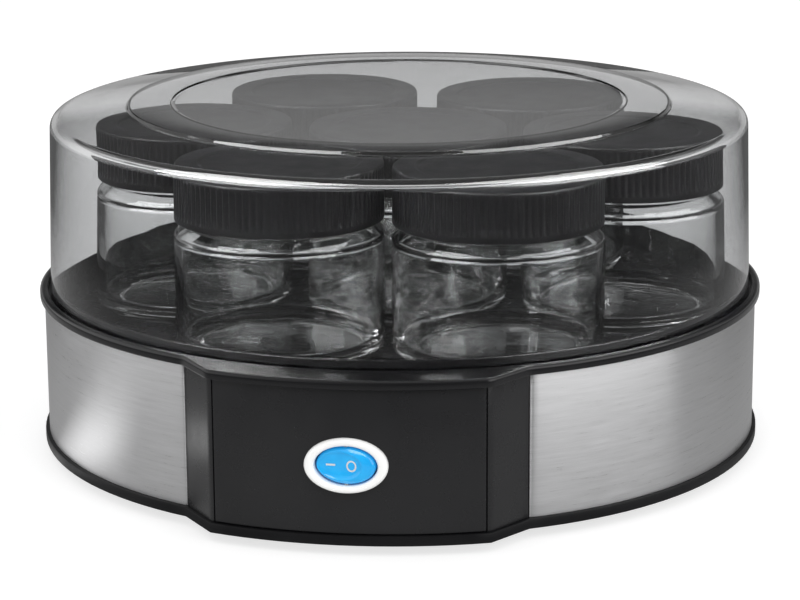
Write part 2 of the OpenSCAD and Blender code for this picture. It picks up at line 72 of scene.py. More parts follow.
BEZEL_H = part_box("switch_bezel")[1].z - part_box("switch_bezel")[0].z
GLAND_Z = (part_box("cord_gland")[0].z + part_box("cord_gland")[1].z) / 2
GLAND_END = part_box("cord_gland")[1].y

# ---- Sizes that the boxes don't give ----

RIM_TOP = BAND_HIGH + 2.9 * MM
WELL_Z = RIM_TOP - 8 * MM
WALL = 2 * MM
GROOVE_Z = RIM_TOP - 2.5 * MM
UPSTAND_R = BAND_R - 4.6 * MM
WELL_R = UPSTAND_R - 1.6 * MM
SHELL_R = BAND_R - 0.5 * MM
FASCIA_T = 1.8 * MM

# Half the angle that the flat panel takes, and that the panel with its cheeks takes
PANEL_HALF = math.radians(19.3)
CHEEK_HALF = math.radians(26.1)

# Half the angle of the recess that the fascia sits in
RECESS_HALF = PANEL_HALF - math.radians(0.4)

# Points closer than this are one point, and edges that turn more than this are sharp
MERGE_DISTANCE = 0.002 * MM
SHARP_ANGLE = 32
PANEL_SHARP_ANGLE = 24

# Degrees between the sections of a ring where nothing changes
COARSE_STEP = 1.5


def centre_of(node):
    """Middle of a node's box, seen from above."""
    low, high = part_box(node)
    return (low.x + high.x) / 2, (low.y + high.y) / 2


# ---- Mesh building ----


def rounded(path, steps=5):
    """A closed outline through (x, z, radius) corners, each rounded by an arc of its radius."""
    points = []
    count = len(path)
    most_cut = 0.49
    for i, (x, z, radius) in enumerate(path):
        corner = Vector((x, z))
        if radius == 0:
            points.append(corner)
            continue
        before = Vector(path[i - 1][:2]) - corner
        after = Vector(path[(i + 1) % count][:2]) - corner
        half = before.angle(after) / 2
        cut = min(radius / math.tan(half), most_cut * before.length, most_cut * after.length)
        start = corner + before.normalized() * cut
        end = corner + after.normalized() * cut
        middle = corner + (before.normalized() + after.normalized()).normalized() * (cut / math.cos(half))
        reach = (start - middle).length
        first = math.atan2(start.y - middle.y, start.x - middle.x)
        turn = math.atan2(end.y - middle.y, end.x - middle.x) - first
        turn = (turn + math.pi) % (2 * math.pi) - math.pi
        for k in range(steps + 1):
            angle = first + turn * k / steps
            points.append(middle + reach * Vector((math.cos(angle), math.sin(angle))))
    return points


def add_piece(name, verts, faces, material, body, slot, replaced=(), sharp=SHARP_ANGLE):
    """A mesh piece that rides on a body and stands for the CAD nodes it replaces."""
    mesh = bpy.data.meshes.new(name)
    mesh.from_pydata([tuple(v) for v in verts], [], faces)
    tidy_mesh(mesh, sharp)
    mesh.materials.append(material)
    return place(name, mesh, body, replaced)


def tidy_mesh(mesh, sharp=SHARP_ANGLE):
    """Merges doubled points, turns all faces outwards and shades smooth but for sharp edges."""
    bm = bmesh.new()
    bm.from_mesh(mesh)
    bmesh.ops.remove_doubles(bm, verts=bm.verts, dist=MERGE_DISTANCE)
    bmesh.ops.dissolve_degenerate(bm, dist=MERGE_DISTANCE / 20, edges=bm.edges)
    bmesh.ops.recalc_face_normals(bm, faces=bm.faces)
    bm.to_mesh(mesh)
    bm.free()
    mesh.shade_smooth()
    mesh.set_sharp_from_angle(angle=math.radians(sharp))


def place(name, mesh, body, replaced=()):
    """An object for a mesh, riding on a body and standing for the CAD nodes it replaces."""
    obj = bpy.data.objects.new(name, mesh)
    bpy.context.scene.collection.objects.link(obj)
    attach(obj, body)
    if replaced:
        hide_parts(*replaced)
    return obj


def skin(rings, close_rings=True):
    """Points and faces of a surface through rings of equal length, with end caps where it isn't closed."""
    count = len(rings[0])
    verts = [p for ring in rings for p in ring]
    faces = []
    for i in range(len(rings) - (0 if close_rings else 1)):
        here, there = i * count, (i + 1) % len(rings) * count
        for k in range(count):
            k2 = (k + 1) % count
            faces.append((here + k, there + k, there + k2, here + k2))
    if not close_rings:
        faces.append(tuple(range(count)))
        faces.append(tuple(range(len(verts) - 1, len(verts) - count - 1, -1)))
    return verts, faces


def turned(radius, angle, z):
    """A point at a radius and height, at an angle from the front towards +X."""
    return Vector((radius * math.sin(angle), -radius * math.cos(angle), z))


def full_turn(count):
    """Angles in radians at equal steps round a whole turn."""
    return [2 * math.pi * i / count for i in range(count)]


def lathe(section, count):
    """A closed section turned about the Z axis."""
    return skin([[turned(p.x, a, p.y) for p in section] for a in full_turn(count)])


def outline_radius(angle, ring_r, front_r):
    """Distance from the axis to the base's outline at an angle from the front, with sharp corners."""
    a = abs((angle + math.pi) % (2 * math.pi) - math.pi)
    if a >= CHEEK_HALF:
        return ring_r
    if a <= PANEL_HALF:
        return front_r
    p = Vector((ring_r * math.sin(CHEEK_HALF), ring_r * math.cos(CHEEK_HALF)))
    q = Vector((front_r * math.sin(PANEL_HALF), front_r * math.cos(PANEL_HALF)))
    along = q - p
    return (p.x * along.y - p.y * along.x) / (math.sin(a) * along.y - math.cos(a) * along.x)


def soft_outline(angle, ring_r, front_r):
    """The same distance with the corners rounded, as a mean over a small stretch of angle."""
    softness = math.radians(0.55)
    spread = 6
    total = 0
    for k in range(-spread, spread + 1):
        total += outline_radius(angle + softness * k / spread, ring_r, front_r)
    return total / (2 * spread + 1)


def front_fine_angles(first, last):
    """Angles in radians from first to last degree, closer together round the bulge at the front."""
    fine, fine_half = 0.2, 29
    coarse = COARSE_STEP
    angles = []
    a = first
    while a < last - 1e-6:
        angles.append(a)
        a += fine if abs(a) < fine_half else coarse
    angles.append(last)
    return [math.radians(a) for a in angles]


# ---- Materials ----


class Surface:
    """A Principled material with short helpers for its node pattern."""

    def __init__(self, name, **constants):
        self.material = bpy.data.materials.new(name)
        self.material.use_nodes = True
        self.tree = self.material.node_tree
        self.shader = self.tree.nodes["Principled BSDF"]
        for key, value in constants.items():
            socket = self.shader.inputs[key.replace("_", " ")]
            socket.default_value = (*value, 1) if isinstance(value, tuple) and len(value) == 3 else value
        self.coords = self.node("ShaderNodeTexCoord").outputs["Object"]

    def node(self, kind, **settings):
        made = self.tree.nodes.new(kind)
        for key, value in settings.items():
            setattr(made, key, value)
        return made

    def link(self, source, socket):
        self.tree.links.new(source, socket)

    def math(self, operation, a, b=None):
        made = self.node("ShaderNodeMath", operation=operation)
        for socket, value in zip(made.inputs, (a, b)):
            if isinstance(value, (int, float)):
                socket.default_value = value
            elif value is not None:
                self.link(value, socket)
        return made.outputs[0]

    def round_the_axis(self, along, up):
        """Coordinates that run round the Z axis, scaled along the turn and up the height."""
        parts = self.node("ShaderNodeSeparateXYZ")
        self.link(self.coords, parts.inputs[0])
        angle = self.math("ARCTAN2", parts.outputs["Y"], parts.outputs["X"])
        joined = self.node("ShaderNodeCombineXYZ")
        self.link(self.math("MULTIPLY", angle, along), joined.inputs["X"])
        self.link(self.math("MULTIPLY", parts.outputs["Z"], up), joined.inputs["Y"])
        return joined.outputs[0]

    def noise(self, scale, detail=3.0, vector=None, roughness=0.5):
        made = self.node("ShaderNodeTexNoise")
        made.inputs["Scale"].default_value = scale
        made.inputs["Detail"].default_value = detail
        made.inputs["Roughness"].default_value = roughness
        self.link(vector or self.coords, made.inputs["Vector"])
        return made.outputs["Fac"]

    def between(self, factor, low, high, start=0.3, stop=0.7):
        """Values or colours from low to high as the factor goes from start to stop."""
        made = self.node("ShaderNodeMapRange")
        made.inputs["From Min"].default_value = start
        made.inputs["From Max"].default_value = stop
        self.link(factor, made.inputs["Value"])
        if not isinstance(low, tuple):
            made.inputs["To Min"].default_value = low
            made.inputs["To Max"].default_value = high
            return made.outputs["Result"]
        mix = self.node("ShaderNodeMix", data_type="RGBA")
        self.link(made.outputs["Result"], mix.inputs["Factor"])
        mix.inputs["A"].default_value = (*low, 1)
        mix.inputs["B"].default_value = (*high, 1)
        return mix.outputs["Result"]

    def set(self, socket, value):
        self.link(value, self.shader.inputs[socket])

    def bump(self, height, strength, distance, below=None):
        made = self.node("ShaderNodeBump")
        made.inputs["Strength"].default_value = strength
        made.inputs["Distance"].default_value = distance
        self.link(height, made.inputs["Height"])
        if below:
            self.link(below, made.inputs["Normal"])
        self.link(made.outputs["Normal"], self.shader.inputs["Normal"])
        return made.outputs["Normal"]


def moulded_plastic(name, dark, light, smooth, rough, grain=2600, depth=0.012 * MM, **constants):
    """Moulded plastic: mottled colour, uneven sheen and a fine grain."""
    s = Surface(name, **constants)
    s.set("Base Color", s.between(s.noise(34, 4), dark, light))
    s.set("Roughness", s.between(s.noise(90, 5, roughness=0.6), smooth, rough))
    soft = s.bump(s.noise(26, 2), 0.35, 0.06 * MM)
    s.bump(s.noise(grain, 2), 0.5, depth, below=soft)
    return s.material


def brushed_steel_band():
    """Stainless sheet with fine brush lines that run round the base."""
    s = Surface("brushed_steel_band", Metallic=1.0, Anisotropic=0.96, Anisotropic_Rotation=0.25)
    fine = s.noise(1.0, 4, s.round_the_axis(16, 9500), roughness=0.65)
    broad = s.noise(1.0, 3, s.round_the_axis(5, 900))
    both = s.math("ADD", s.math("MULTIPLY", fine, 0.65), s.math("MULTIPLY", broad, 0.35))
    s.set("Base Color", s.between(both, (0.63, 0.63, 0.635), (0.77, 0.77, 0.78), 0.32, 0.68))
    s.set("Roughness", s.between(both, 0.25, 0.4, 0.3, 0.7))
    s.bump(fine, 0.32, 0.012 * MM)
    tangent = s.node("ShaderNodeTangent", direction_type="RADIAL", axis="Z")
    s.link(tangent.outputs[0], s.shader.inputs["Tangent"])
    return s.material


def plain_metal(name, dark, light, smooth, rough, scale=400):
    """Plated or rolled metal with faint streaks and stains."""
    s = Surface(name, Metallic=1.0)
    s.set("Base Color", s.between(s.noise(scale, 4), dark, light))
    s.set("Roughness", s.between(s.noise(scale / 4, 5), smooth, rough))
    s.bump(s.noise(scale * 6, 3), 0.3, 0.01 * MM)
    return s.material


def jar_glass():
    """Pressed clear glass with the slight waves that pressing leaves."""
    s = Surface("jar_glass", Base_Color=(0.955, 0.96, 0.96), Transmission_Weight=1.0, IOR=1.5)
    s.set("Roughness", s.between(s.noise(60, 3), 0.0, 0.012))
    waves = s.bump(s.noise(38, 1.5), 0.8, 0.8 * MM)
    s.bump(s.noise(240, 2), 0.1, 0.03 * MM, below=waves)
    return s.material


def lid_plastic():
    """Clear, slightly smoky moulded plastic, with painted shade that darkens the wall below the top, faint
    flow lines and fine wear.
    """
    s = Surface("lid_plastic", Transmission_Weight=1.0, IOR=1.49)
    height = s.node("ShaderNodeSeparateXYZ")
    s.link(s.coords, height.inputs[0])
    # painted shade: the wall below the shoulder is tinted darker than the top, for light's longer path
    # through the wall
    wall, top = (0.835, 0.84, 0.845), (0.93, 0.935, 0.94)
    s.set("Base Color", s.between(height.outputs["Z"], wall, top, LID_TOP - 9 * MM, LID_TOP - 4 * MM))
    s.set("Roughness", s.between(s.noise(180, 5, roughness=0.7), 0.0, 0.018))
    flow = s.bump(s.noise(1.0, 2, s.round_the_axis(1.5, 22)), 0.2, 0.05 * MM)
    s.bump(s.noise(900, 3), 0.04, 0.004 * MM, below=flow)
    return s.material


def rubber_surface():
    """Dull black rubber with a coarse grain."""
    s = Surface("rubber_surface", Specular_IOR_Level=0.35)
    s.set("Base Color", s.between(s.noise(60, 4), (0.012, 0.012, 0.013), (0.028, 0.028, 0.029)))
    s.set("Roughness", s.between(s.noise(300, 4), 0.62, 0.82))
    s.bump(s.noise(1500, 3), 0.4, 0.03 * MM)
    return s.material


def rocker_plastic():
    """Translucent blue plastic, with a faint painted blue glow for the lamp that lights it from behind."""
    # painted glow: a faint blue emission on the rocker, which is no lamp
    s = Surface("rocker_plastic", IOR=1.5, Coat_Weight=0.6, Coat_Roughness=0.04,
                Emission_Color=(0.0, 0.22, 0.62), Emission_Strength=0.22)
    s.set("Base Color", s.between(s.noise(160, 3), (0.004, 0.30, 0.66), (0.012, 0.40, 0.78)))
    s.set("Roughness", s.between(s.noise(500, 4), 0.14, 0.24))
    s.bump(s.noise(2600, 2), 0.25, 0.01 * MM)
    return s.material


def matt_board(name, dark, light, scale):
    """Pressed or fired material: mottled, rough, faintly pitted."""
    s = Surface(name)
    s.set("Base Color", s.between(s.noise(scale, 6, roughness=0.7), dark, light))
    s.set("Roughness", s.between(s.noise(scale * 3, 3), 0.65, 0.9))
    s.bump(s.noise(scale * 8, 3), 0.4, 0.03 * MM)
    return s.material


def clear_glass_bulb():
    """The amber glass of the switch's lamp."""
    s = Surface("lamp_glass", Base_Color=(1.0, 0.86, 0.7), Transmission_Weight=1.0, IOR=1.5)
    s.set("Roughness", s.between(s.noise(500, 2), 0.0, 0.05))
    return s.material


MATERIALS = {
    "base_black": moulded_plastic("base_black", (0.006, 0.006, 0.007), (0.011, 0.011, 0.012), 0.36, 0.5,
                                  Specular_IOR_Level=0.16),
    "panel_black": moulded_plastic("panel_black", (0.009, 0.009, 0.010), (0.013, 0.013, 0.014), 0.24, 0.32),
    "rim_black": moulded_plastic("rim_black", (0.005, 0.005, 0.006), (0.009, 0.009, 0.010), 0.14, 0.24),
    "shell_grey": moulded_plastic("shell_grey", (0.06, 0.06, 0.06), (0.10, 0.10, 0.10), 0.5, 0.65),
    "band_steel": brushed_steel_band(),
    "rubber": rubber_surface(),
    "screw_steel": plain_metal("screw_steel", (0.42, 0.42, 0.43), (0.62, 0.62, 0.63), 0.22, 0.42),
    "plate_aluminium": plain_metal("plate_aluminium", (0.66, 0.67, 0.68), (0.8, 0.8, 0.81), 0.3, 0.5, 120),
    "sheath_steel": plain_metal("sheath_steel", (0.3, 0.28, 0.26), (0.48, 0.46, 0.44), 0.4, 0.6, 150),
    "bush_ceramic": matt_board("bush_ceramic", (0.74, 0.72, 0.66), (0.86, 0.85, 0.80), 200),
    "insulation": matt_board("insulation", (0.42, 0.36, 0.25), (0.66, 0.58, 0.44), 90),
    "thermostat_black": moulded_plastic("thermostat_black", (0.02, 0.02, 0.022), (0.05, 0.05, 0.052),
                                        0.4, 0.6),
    "switch_white": moulded_plastic("switch_white", (0.84, 0.84, 0.83), (0.89, 0.89, 0.88), 0.16, 0.26),
    "switch_black": moulded_plastic("switch_black", (0.012, 0.012, 0.013), (0.022, 0.022, 0.023), 0.4, 0.6),
    "rocker_blue": rocker_plastic(),
    "brass": plain_metal("brass", (0.55, 0.38, 0.14), (0.78, 0.58, 0.26), 0.25, 0.45, 300),
    "lamp_glass": clear_glass_bulb(),
    "block_white": moulded_plastic("block_white", (0.68, 0.67, 0.62), (0.78, 0.77, 0.73), 0.4, 0.6),
    "wire_brown": moulded_plastic("wire_brown", (0.11, 0.045, 0.018), (0.19, 0.08, 0.035), 0.35, 0.5),
    "wire_blue": moulded_plastic("wire_blue", (0.02, 0.08, 0.34), (0.04, 0.14, 0.5), 0.35, 0.5),
    "lid_clear": lid_plastic(),
    "jar_glass": jar_glass(),
    "cap_black": moulded_plastic("cap_black", (0.006, 0.006, 0.007), (0.011, 0.011, 0.012), 0.34, 0.48,
                                 grain=3400, depth=0.02 * MM, Specular_IOR_Level=0.35),
    "liner_white": matt_board("liner_white", (0.76, 0.76, 0.73), (0.88, 0.88, 0.85), 400),
}
# The well's plastic is blacker and less glossy than the rim's. The blacker colour is painted shade in the
# well under the lid.
WELL_SHADE_BLACK = moulded_plastic("well_shade_black", (0.002, 0.002, 0.003), (0.004, 0.004, 0.005), 0.2, 0.34,
                             Specular_IOR_Level=0.05)
MARK_PAINT = moulded_plastic("mark_paint", (0.78, 0.78, 0.78), (0.88, 0.88, 0.88), 0.35, 0.5)

for part in frame["record"]["subparts"]:
    node = frame["nodes"][part["node"]]
    node.data.materials.clear()
    node.data.materials.append(MATERIALS[part["material_slot"]])

# ---- Base ----


def build_deck():
    """Top deck: well, upstand, lid groove and rim, glossy outside the upstand and dull inside it, with
    painted shade blackening the well.
    """
    under = WELL_Z - WALL
    shoulder = BAND_HIGH - 2.6 * MM
    groove_r = SHELL_R - 0.5 * MM
    skirt_r = SHELL_R - 0.05 * MM
    rings = []
    for a in front_fine_angles(-180, 180 - COARSE_STEP):
        rim = soft_outline(a, RIM_R, RIM_FRONT_R)
        section = rounded([
            (0, under, 0), (0, WELL_Z, 0), (WELL_R, WELL_Z, 2.2 * MM), (WELL_R, UPSTAND_TOP, 0.7 * MM),
            (UPSTAND_R, UPSTAND_TOP, 0.5 * MM), (UPSTAND_R, GROOVE_Z, 0.2 * MM),
            (groove_r, GROOVE_Z, 0.2 * MM), (groove_r, RIM_TOP, 0.45 * MM), (rim, RIM_TOP, 1.1 * MM),
            (rim, BAND_HIGH, 0.35 * MM), (skirt_r, BAND_HIGH, 0), (skirt_r, shoulder, 0),
            (WELL_R + WALL, shoulder, 0), (WELL_R + WALL, under, 0)])
        rings.append([turned(p.x, a, p.y) for p in section])
    deck = add_piece("top_deck_moulding", *skin(rings), MATERIALS["rim_black"], "base", "rim_black",
                     ["top_deck"])
    deck.data.materials.append(WELL_SHADE_BLACK)
    # faces inside the upstand get the well's painted-shade material
    well_edge = UPSTAND_R - 0.6 * MM
    for face in deck.data.polygons:
        if math.hypot(face.center.x, face.center.y) < well_edge:
            face.material_index = 1


def build_band():
    """Steel band round the base, from cheek to cheek, with its two ends curled inwards."""
    thickness = 0.45 * MM
    start = math.degrees(CHEEK_HALF) + 0.2
    end = 360 - start
    # degrees from an end, and how far the band has turned in there
    curl = {0.0: 0.45 * MM, 0.12: 0.2 * MM, 0.3: 0.06 * MM, 0.6: 0.0}
    steps = int((end - start) / COARSE_STEP)
    angles = ([start + t for t in curl] + [start + COARSE_STEP * k for k in range(1, steps)]
              + [end - t for t in reversed(curl)])
    rings = []
    for a in angles:
        from_end = round(min(a - start, end - a), 3)
        outer = BAND_R - curl.get(from_end, 0.0)
        section = rounded([(outer - thickness, BAND_LOW, 0), (outer - thickness, BAND_HIGH, 0),
                           (outer, BAND_HIGH, 0.2 * MM), (outer, BAND_LOW, 0.2 * MM)], steps=3)
        rings.append([turned(p.x, math.radians(a), p.y) for p in section])
    add_piece("steel_band_sheet", *skin(rings, close_rings=False), MATERIALS["band_steel"], "base",
              "band_steel", ["steel_band"])


def build_panel_housing():
    """Moulding behind the fascia, with its sloped cheeks and the recess that the fascia sits in."""
    cheek_half = math.degrees(CHEEK_HALF)
    near_edge = [math.degrees(RECESS_HALF) + d for d in (-0.1, -0.05, 0.0, 0.05, 0.1)]
    angles = sorted(front_fine_angles(-cheek_half, cheek_half)
                    + [math.radians(sign * e) for sign in (-1, 1) for e in near_edge])
    rings = []
    for a in angles:
        inset = FASCIA_T if abs(a) < RECESS_HALF - 1e-4 else 0.0
        outer = soft_outline(a, BAND_R, PANEL_R) - inset
        inner = outline_radius(a, BAND_R - 2.8 * MM, PANEL_R - FASCIA_T - 2.4 * MM)
        section = rounded([(inner, BAND_LOW, 0), (inner, BAND_HIGH, 0), (outer, BAND_HIGH, 0.3 * MM),
                           (outer, BAND_LOW, 0.3 * MM)], steps=3)
        rings.append([turned(p.x, a, p.y) for p in section])
    return add_piece("panel_housing_moulding", *skin(rings, close_rings=False), MATERIALS["panel_black"],
                     "base", "panel_black", ["front_housing"], sharp=PANEL_SHARP_ANGLE)


def build_fascia():
    """Fascia plate in its recess, with small rounded edges all round."""
    edge = 0.35 * MM
    gap = 0.2 * MM
    low, high = BAND_LOW + gap, BAND_HIGH - gap
    back = PANEL_R - FASCIA_T
    half = math.degrees(RECESS_HALF) - 0.14
    # degrees from the side edge, and how much of the edge's rounding is left there
    rounding = ((0.0, 1.0), (0.03, 0.42), (0.08, 0.12), (0.16, 0.0))
    flat_half = half - rounding[-1][0]
    flat_steps = 90
    flat = [-flat_half + k * 2 * flat_half / flat_steps for k in range(1, flat_steps)]
    plan = ([(-half + t, d) for t, d in rounding] + [(a, 0.0) for a in flat]
            + [(half - t, d) for t, d in reversed(rounding)])
    rings = []
    for a, d in plan:
        outer = PANEL_R - d * edge
        section = rounded([(back, low, 0), (back, high, 0), (outer, high, edge), (outer, low, edge)], steps=4)
        rings.append([turned(p.x, math.radians(a), p.y) for p in section])
    return add_piece("fascia_plate", *skin(rings, close_rings=False), MATERIALS["panel_black"], "base",
                     "panel_black", ["front_panel"], sharp=40)


def build_base_mouldings():
    """Top deck, steel band, panel housing and fascia, with the switch's opening cut through the panel."""
    build_deck()
    build_band()
    housing = build_panel_housing()
    fascia = build_fascia()
    clear_front, clear_back = -PANEL_R - 5 * MM, -PANEL_R + 9 * MM
    for plate in (housing, fascia):
        cut_oval(plate, BEZEL_W - 4 * MM, BEZEL_H - 2.4 * MM, clear_front, clear_back)
    cut_oval(fascia, BEZEL_W + 0.3 * MM, BEZEL_H + 0.3 * MM, clear_front, BEZEL_BACK)


def cut_oval(obj, width, height, y0, y1):
    """Cuts an upright oval hole into a piece, from y0 back to y1, at the switch."""
    rings = [oval_ring(width / 2, height / 2, y) for y in (y0, y1)]
    verts, faces = skin(rings, close_rings=False)
    mesh = bpy.data.meshes.new("oval_cutter")
    mesh.from_pydata([tuple(v) for v in verts], [], faces)
    tidy_mesh(mesh)
    cutter = bpy.data.objects.new("oval_cutter", mesh)
    bpy.context.scene.collection.objects.link(cutter)
    cutting = obj.modifiers.new("oval", "BOOLEAN")
    cutting.object = cutter
    cutting.solver = "EXACT"
    apply_modifiers(obj)
    obj.data.shade_smooth()
    obj.data.set_sharp_from_angle(angle=math.radians(PANEL_SHARP_ANGLE))
    bpy.data.objects.remove(cutter)
    bpy.data.meshes.remove(mesh)


def apply_modifiers(obj):
    """Makes a piece's modifiers part of its mesh."""
    bpy.context.view_layer.update()
    graph = bpy.context.evaluated_depsgraph_get()
    made = bpy.data.meshes.new_from_object(obj.evaluated_get(graph))
    old = obj.data
    obj.modifiers.clear()
    obj.data = made
    bpy.data.meshes.remove(old)
    made.name = obj.name


def oval_ring(half_w, half_h, y, shift=0.0):
    """Points round an upright oval at the switch's height, with its middle shifted along X."""
    return [Vector((half_w * math.cos(a) + shift, y, SWITCH_Z + half_h * math.sin(a))) for a in full_turn(96)]


# ---- Switch ----


def build_bezel():
    """White oval bezel with a rounded face and a neck that goes back through the panel."""
    w, h = BEZEL_W / 2, BEZEL_H / 2
    hole_w, hole_h = 9.45 * MM, 6.15 * MM
    neck_w = hole_w + 1 * MM
    front, back = BEZEL_FRONT, BEZEL_BACK
    neck_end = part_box("switch_bezel")[1].y
    profile = [
        (w, back), (w, back - 0.9 * MM), (w - 0.15 * MM, front + 0.75 * MM),
        (w - 0.55 * MM, front + 0.25 * MM), (w - 1.1 * MM, front + 0.03 * MM), (w - 1.7 * MM, front),
        (w - 2.35 * MM, front + 0.08 * MM), (hole_w + 0.35 * MM, front + 0.3 * MM),
        (hole_w + 0.1 * MM, front + 0.6 * MM), (hole_w, front + 1.1 * MM), (hole_w, neck_end),
        (neck_w, neck_end), (neck_w, back)]
    rings = []
    for half_w, y in profile:
        share = (half_w - hole_w) / (w - hole_w)
        rings.append(oval_ring(half_w, hole_h + share * (h - hole_h), y))
    verts, faces = skin([list(points) for points in zip(*rings)])
    add_piece("switch_bezel_oval", verts, faces, MATERIALS["switch_white"], "base", "switch_white",
              ["switch_bezel"], sharp=50)


def build_rocker():
    """Blue rocker, tipped to its "I" side, with a dished face that sits off its middle, and its two marks."""
    pivot = Vector((0, BEZEL_BACK + 0.1 * MM, SWITCH_Z))
    tilt = Matrix.Rotation(math.radians(-9), 4, "Z")
    settle = Matrix.Translation(pivot) @ tilt @ Matrix.Translation(-pivot)
    rocker_w, rocker_h = 9.0 * MM, 5.8 * MM
    face_w, face_h = 6.7 * MM, 4.25 * MM
    face_x = -1.5 * MM
    face_y = pivot.y - 1.9 * MM

    def dish(s2):
        """How far back the dished face is, at a squared share s2 of the way from its middle to its edge."""
        return face_y + (0.34 + 0.5 * (1 - s2)) * MM

    # half width, half height, depth, and how much of the face's shift to the side is taken up there
    rows = [(rocker_w * 0.97, rocker_h, pivot.y + 2.8 * MM, 0), (rocker_w, rocker_h, pivot.y, 0),
            (rocker_w - 0.15 * MM, rocker_h - 0.1 * MM, pivot.y - 0.7 * MM, 0.1),
            (rocker_w - 0.7 * MM, rocker_h - 0.5 * MM, pivot.y - 1.35 * MM, 0.35),
            (face_w + 0.45 * MM, face_h + 0.35 * MM, face_y + 0.12 * MM, 1),
            (face_w + 0.15 * MM, face_h + 0.1 * MM, face_y, 1),
            (face_w - 0.1 * MM, face_h - 0.1 * MM, face_y + 0.12 * MM, 1)]
    rows += [(face_w * s, face_h * s, dish(s * s), 1) for s in (0.92, 0.8, 0.6, 0.4, 0.2)]
    rings = [[settle @ p for p in oval_ring(half_w, half_h, y, face_x * shift)]
             for half_w, half_h, y, shift in rows]
    verts, faces = skin(rings, close_rings=False)
    add_piece("rocker_button", verts, faces, MATERIALS["rocker_blue"], "rocker", "rocker_blue",
              ["switch_rocker"], sharp=60)

    def face_depth(x, z):
        return dish(((x - face_x) / face_w) ** 2 + (z / face_h) ** 2)

    def mark(name, path, width, closed):
        """A raised line on the dished face, along points (x, z) from its middle."""
        half, bevel = 0.5, 0.3
        buried, low, high = -0.15 * MM, 0.03 * MM, 0.06 * MM
        section = ((-half, buried), (-half, low), (-bevel, high), (bevel, high), (half, low), (half, buried))
        rows = []
        count = len(path)
        for i, (x, z) in enumerate(path):
            x0, z0 = path[i - 1] if closed or i > 0 else path[i]
            x1, z1 = path[(i + 1) % count] if closed or i < count - 1 else path[i]
            length = math.hypot(x1 - x0, z1 - z0)
            nx, nz = -(z1 - z0) / length, (x1 - x0) / length
            row = []
            for side, proud in section:
                px, pz = x + nx * side * width, z + nz * side * width
                row.append(settle @ Vector((px, face_depth(px, pz) - proud, SWITCH_Z + pz)))
            rows.append(row)
        verts, faces = skin(rows, close_rings=closed)
        add_piece(name, verts, faces, MARK_PAINT, "rocker", "switch_white")

    dash_x, dash_length = -5.9 * MM, 2.8 * MM
    circle_x, circle_w, circle_h = 1.9 * MM, 1.35 * MM, 1.5 * MM
    dash = [(dash_x + dash_length * k / 6, 0.0) for k in range(7)]
    circle = [(circle_x + circle_w * math.cos(a), circle_h * math.sin(a)) for a in full_turn(40)]
    mark("rocker_mark_on", dash, 0.6 * MM, False)
    mark("rocker_mark_off", circle, 0.5 * MM, True)


# ---- Cord gland ----


def build_gland():
    """Rubber bush at the back, with a collar and three bend grooves round its sleeve."""
    flange = BAND_R + 0.1 * MM
    flange_r, flange_end = 8.6 * MM, flange + 2.4 * MM
    nut_start, nut_end, nut_r = 110 * MM, 114.2 * MM, 8 * MM
    bore, neck_r = 3.3 * MM, 5.9 * MM
    outline = rounded([
        (bore, nut_start, 0.3 * MM), (nut_r, nut_start, 0.5 * MM), (nut_r, nut_end, 0.3 * MM),
        (neck_r, nut_end, 0), (neck_r, flange, 0), (flange_r, flange, 0.2 * MM),
        (flange_r, flange_end, 0.8 * MM), (7.15 * MM, flange_end, 0.4 * MM),
        (6.7 * MM, flange + 4.2 * MM, 0.2 * MM), (6.0 * MM, flange + 4.5 * MM, 0.2 * MM),
        (6.0 * MM, flange + 5.1 * MM, 0.2 * MM), (6.5 * MM, flange + 5.4 * MM, 0.2 * MM),
        (6.2 * MM, flange + 7.0 * MM, 0.2 * MM), (5.6 * MM, flange + 7.3 * MM, 0.2 * MM),
        (5.6 * MM, flange + 7.9 * MM, 0.2 * MM), (6.0 * MM, flange + 8.2 * MM, 0.2 * MM),
        (5.4 * MM, GLAND_END, 0.7 * MM), (bore, GLAND_END, 0.4 * MM)], steps=4)
    rings = [[Vector((p.x * math.cos(a), p.y, GLAND_Z + p.x * math.sin(a))) for p in outline]
             for a in full_turn(64)]
    add_piece("cord_gland_bush", *skin(rings), MATERIALS["rubber"], "base", "rubber", ["cord_gland"])


# ---- Underside ----


def soften_edges(node, name):
    """Stands a copy of one of the base's CAD nodes, with small rounded edges, in its place."""
    mesh = frame["nodes"][node].data.copy()
    mesh.name = name
    bm = bmesh.new()
    bm.from_mesh(mesh)
    bmesh.ops.remove_doubles(bm, verts=bm.verts, dist=MERGE_DISTANCE)
    bmesh.ops.dissolve_limit(bm, angle_limit=math.radians(1), verts=bm.verts, edges=bm.edges)
    bmesh.ops.recalc_face_normals(bm, faces=bm.faces)
    bm.to_mesh(mesh)
    bm.free()
    obj = place(name, mesh, "base", [node])
    edges = obj.modifiers.new("edges", "BEVEL")
    edges.width = 0.35 * MM
    edges.segments = 2
    edges.limit_method = "ANGLE"
    edges.angle_limit = math.radians(40)
    edges.harden_normals = False
    apply_modifiers(obj)
    obj.data.shade_smooth()
    obj.data.set_sharp_from_angle(angle=math.radians(SHARP_ANGLE))


# ---- Lid ----


